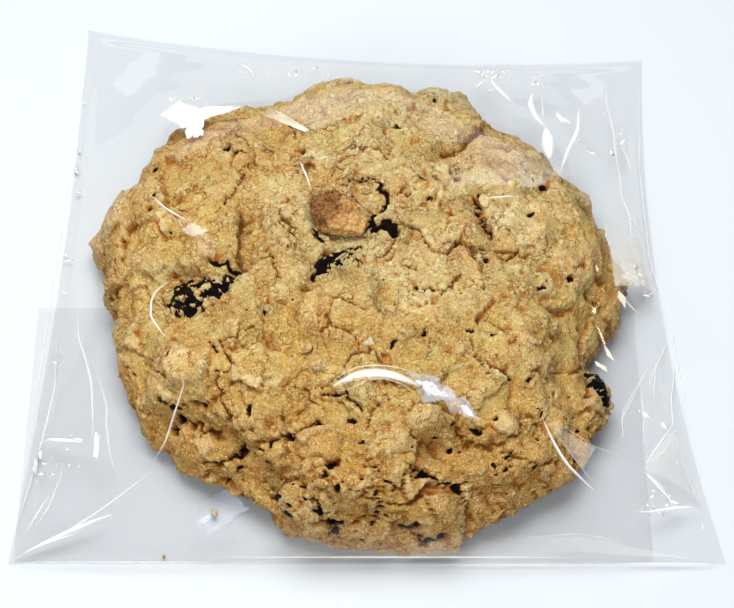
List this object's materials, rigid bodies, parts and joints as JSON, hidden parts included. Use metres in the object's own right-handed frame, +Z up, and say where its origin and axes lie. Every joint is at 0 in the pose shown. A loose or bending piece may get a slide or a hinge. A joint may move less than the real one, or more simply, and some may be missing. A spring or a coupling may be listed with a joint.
{
  "type": "oatmeal raisin cookie",
  "caption": "Large round oatmeal raisin cookie with a domed, cracked crust, sunken raisins and a browned crust piece, sealed in a clear film bag that lies flat.",
  "frame": {"origin": "on the flat underside of the bag, at the middle of the bag's outline", "axes": "+Z up out of the cookie's domed side, +X along the bag's folded near edge, +Y from the folded edge towards the far edge"},
  "size_m": [0.15, 0.145, 0.0317],
  "materials": {
    "baked_dough": "dry, crumbly baked oat dough, golden tan with browner edges",
    "raisin": "wrinkled dried fruit, near black, slightly shiny",
    "browned_crust": "coarse, darker browned crust",
    "clear_film": "clear, thin, crinkled polypropylene film"
  },
  "bodies": {
    "root": {"cookie": "baked_dough", "raisin_left": "raisin", "raisin_centre_right": "raisin", "raisin_centre_near": "raisin", "raisin_right": "raisin", "raisin_right_edge": "raisin", "raisin_near_left": "raisin", "raisin_near_right": "raisin", "raisin_far": "raisin", "crust_piece": "browned_crust", "bag": "clear_film"}
  },
  "joints": []
}
